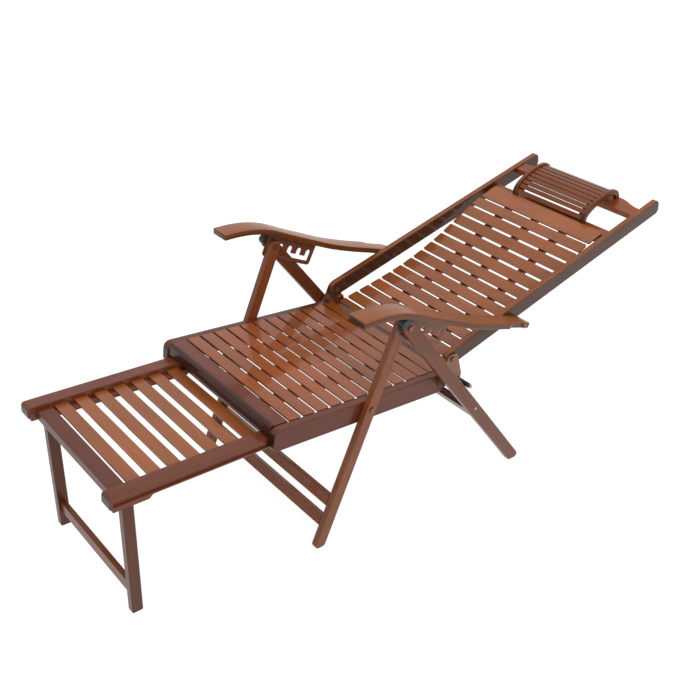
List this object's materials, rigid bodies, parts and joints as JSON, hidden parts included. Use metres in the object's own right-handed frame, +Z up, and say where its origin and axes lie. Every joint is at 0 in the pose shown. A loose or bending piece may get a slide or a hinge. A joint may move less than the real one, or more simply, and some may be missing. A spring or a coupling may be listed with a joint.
{
  "type": "folding recliner chair",
  "caption": "Reclining chair of slatted bamboo on scissor legs, with arched armrests, a pillow on the back and a footrest that slides under the seat.",
  "frame": {"origin": "centre of the object's floor rectangle, on the floor, with the chair opened, the back reclined and the footrest drawn out", "axes": "+Z up, -X towards the footrest's tip, +X towards the head, +Y the right-hand side of the person who sits in it when seen from the front, and the chair's right in the node names"},
  "size_m": [1.811, 0.601, 0.7309],
  "materials": {
    "dark_bamboo": "carbonised bamboo board, dark stain under glossy lacquer",
    "bamboo": "carbonised bamboo slats, lighter brown under glossy lacquer",
    "gloss_bamboo": "carbonised bamboo slats, red-brown under thick glossy lacquer",
    "painted_steel": "sheet steel, painted brown",
    "steel": "zinc-plated steel, slightly dull",
    "rubber": "black-green moulded rubber"
  },
  "bodies": {
    "seat": {"seat_side_board_left": "dark_bamboo", "seat_side_board_right": "dark_bamboo", "seat_slat_panel": "gloss_bamboo", "seat_front_rail": "dark_bamboo", "seat_rear_rail": "dark_bamboo", "back_hinge_bracket_left": "painted_steel", "back_hinge_bracket_right": "painted_steel", "tie_rod": "steel", "rod_sleeve_left": "rubber", "rod_sleeve_right": "rubber", "front_leg_bolt_left": "steel", "front_leg_bolt_right": "steel", "back_hinge_pin_left": "steel", "back_hinge_pin_right": "steel", "footrest_runner_left": "dark_bamboo", "footrest_runner_right": "dark_bamboo"},
    "footrest": {"footrest_rail_left": "dark_bamboo", "footrest_rail_right": "dark_bamboo", "footrest_front_rail": "dark_bamboo", "footrest_rear_rail": "dark_bamboo", "footrest_slat_panel": "bamboo", "footrest_leg_hinge_left": "steel", "footrest_leg_hinge_right": "steel"},
    "footrest_legs": {"footrest_leg_left": "dark_bamboo", "footrest_leg_right": "dark_bamboo", "footrest_leg_stretcher": "dark_bamboo"},
    "front_legs": {"front_leg_left": "dark_bamboo", "front_leg_right": "dark_bamboo", "front_leg_upper_stretcher": "dark_bamboo", "front_leg_lower_stretcher": "dark_bamboo", "top_pin_inner_left": "steel", "top_pin_inner_right": "steel"},
    "rear_legs": {"rear_leg_left": "dark_bamboo", "rear_leg_cap_left": "rubber", "rear_leg_right": "dark_bamboo", "rear_leg_cap_right": "rubber", "rear_leg_stretcher": "dark_bamboo", "top_pin_outer_left": "steel", "top_pin_outer_right": "steel"},
    "back": {"back_rail_left": "dark_bamboo", "back_rail_right": "dark_bamboo", "back_slat_panel": "bamboo", "back_lower_rail": "dark_bamboo", "back_middle_rail": "dark_bamboo", "back_top_rail": "dark_bamboo", "pillow_frame_left": "dark_bamboo", "pillow_frame_right": "dark_bamboo", "pillow_slat_panel": "bamboo", "armrest_pin_left": "steel", "armrest_pin_right": "steel"},
    "left_arm": {"armrest_left": "bamboo", "armrest_comb_left": "painted_steel"},
    "right_arm": {"armrest_right": "bamboo", "armrest_comb_right": "painted_steel"}
  },
  "joints": [
    {"name": "footrest_slide", "type": "slide", "parent": "seat", "child": "footrest", "axis": [1, 0, 0], "range_m": [0, 0.38]},
    {"name": "footrest_leg_fold", "type": "hinge", "parent": "footrest", "child": "footrest_legs", "pos_m": [-0.83555, 0, 0.3317], "axis": [0, -1, 0], "range_deg": [0, 86]},
    {"name": "back_recline", "type": "hinge", "parent": "seat", "child": "back", "pos_m": [0.05751, 0, 0.42552], "axis": [0, -1, 0], "range_deg": [0, 50]},
    {"name": "left_armrest_pivot", "type": "hinge", "parent": "back", "child": "left_arm", "pos_m": [0.27298, 0, 0.48859], "axis": [0, -1, 0], "range_deg": [-34, 0]},
    {"name": "right_armrest_pivot", "type": "hinge", "parent": "back", "child": "right_arm", "pos_m": [0.27298, 0, 0.48859], "axis": [0, -1, 0], "range_deg": [-34, 0]},
    {"name": "front_leg_fold", "type": "hinge", "parent": "seat", "child": "front_legs", "pos_m": [-0.23455, 0, 0.38], "axis": [0, -1, 0], "range_deg": [0, 70]},
    {"name": "rear_leg_fold", "type": "hinge", "parent": "front_legs", "child": "rear_legs", "pos_m": [-0.16457, 0, 0.59667], "axis": [0, -1, 0], "range_deg": [-55, 0]}
  ],
  "couplings": [
    {"joint": "left_armrest_pivot", "follows": "back_recline", "ratio": -0.68},
    {"joint": "right_armrest_pivot", "follows": "back_recline", "ratio": -0.68},
    {"joint": "rear_leg_fold", "follows": "front_leg_fold", "ratio": -0.784}
  ]
}
